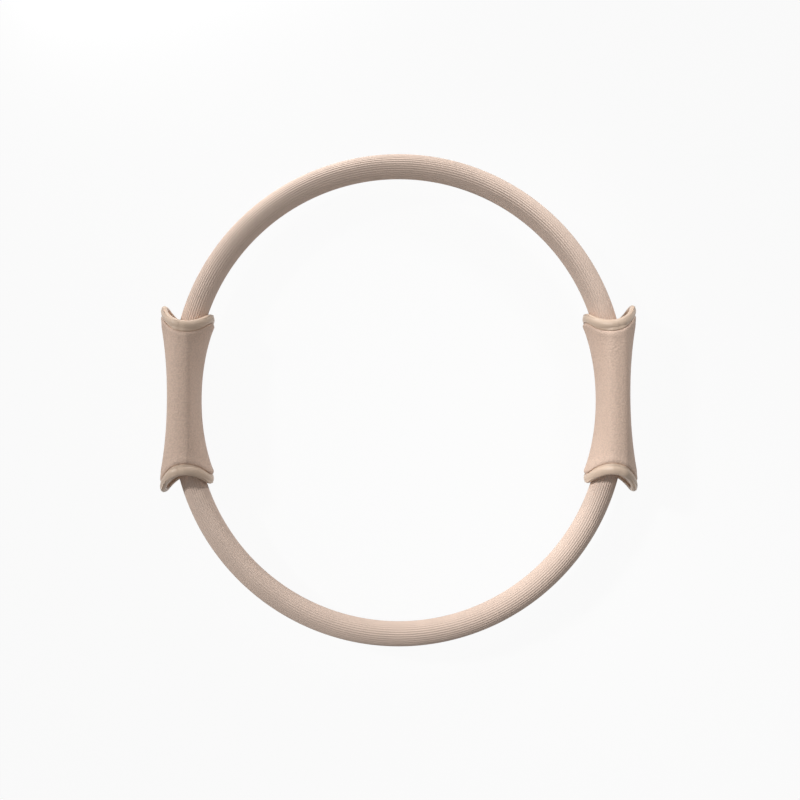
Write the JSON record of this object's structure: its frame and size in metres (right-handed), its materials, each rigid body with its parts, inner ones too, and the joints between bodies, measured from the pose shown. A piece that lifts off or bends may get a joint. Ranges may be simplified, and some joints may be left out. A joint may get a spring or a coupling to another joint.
{
  "type": "pilates ring",
  "caption": "Springy exercise ring: a sleeved flexible hoop with grips facing in and out at opposite sides, squeezed or spread against its own spring.",
  "frame": {"origin": "middle of the ring, half way through its depth", "axes": "+Z along the ring's axis, +X from the ring's middle to the right handle, +Y towards the upper half of the hoop"},
  "size_m": [0.365, 0.3796, 0.054],
  "materials": {
    "sleeve": "matte ribbed thermoplastic elastomer, pale beige",
    "grip": "matte fine-grained thermoplastic rubber, pale beige",
    "shell": "satin moulded polypropylene, pale beige",
    "spring_band": "pultruded fibreglass strip",
    "steel": "zinc plated",
    "insert": "turned brass"
  },
  "bodies": {
    "left_handle": {"left_outer_shell": "shell", "left_inner_shell": "shell", "left_outer_grip": "grip", "left_inner_grip": "grip", "left_clamp_screws": "steel", "left_screw_washers": "steel", "left_threaded_inserts": "insert", "left_screw_caps": "grip"},
    "right_handle": {"right_outer_shell": "shell", "right_inner_shell": "shell", "right_outer_grip": "grip", "right_inner_grip": "grip", "right_clamp_screws": "steel", "right_screw_washers": "steel", "right_threaded_inserts": "insert", "right_screw_caps": "grip"},
    "upper_sleeve": {"upper_sleeve": "sleeve"},
    "lower_sleeve": {"lower_sleeve": "sleeve"},
    "upper_band": {"upper_spring_band": "spring_band"},
    "lower_band": {"lower_spring_band": "spring_band"}
  },
  "joints": [
    {"name": "squeeze", "type": "slide", "parent": "left_handle", "child": "right_handle", "axis": [-1, 0, 0], "range_m": [-0.02, 0.06], "stiffness_N_per_m": 3000, "deforming": ["upper_sleeve", "lower_sleeve", "upper_spring_band", "lower_spring_band"]},
    {"name": "upper_sleeve_bend", "type": "slide", "parent": "left_handle", "child": "upper_sleeve", "axis": [-0.7359, 0.6771, 0], "range_m": [-0.0136, 0.0408]},
    {"name": "lower_sleeve_bend", "type": "slide", "parent": "left_handle", "child": "lower_sleeve", "axis": [-0.7359, -0.6771, 0], "range_m": [-0.0136, 0.0408]},
    {"name": "upper_band_bend", "type": "slide", "parent": "right_handle", "child": "upper_band", "axis": [0.7359, 0.6771, 0], "range_m": [-0.0136, 0.0408]},
    {"name": "lower_band_bend", "type": "slide", "parent": "right_handle", "child": "lower_band", "axis": [0.7359, -0.6771, 0], "range_m": [-0.0136, 0.0408]}
  ],
  "couplings": [
    {"joint": "upper_sleeve_bend", "follows": "squeeze", "ratio": 0.67941},
    {"joint": "lower_sleeve_bend", "follows": "squeeze", "ratio": 0.67941},
    {"joint": "upper_band_bend", "follows": "squeeze", "ratio": 0.67941},
    {"joint": "lower_band_bend", "follows": "squeeze", "ratio": 0.67941}
  ]
}
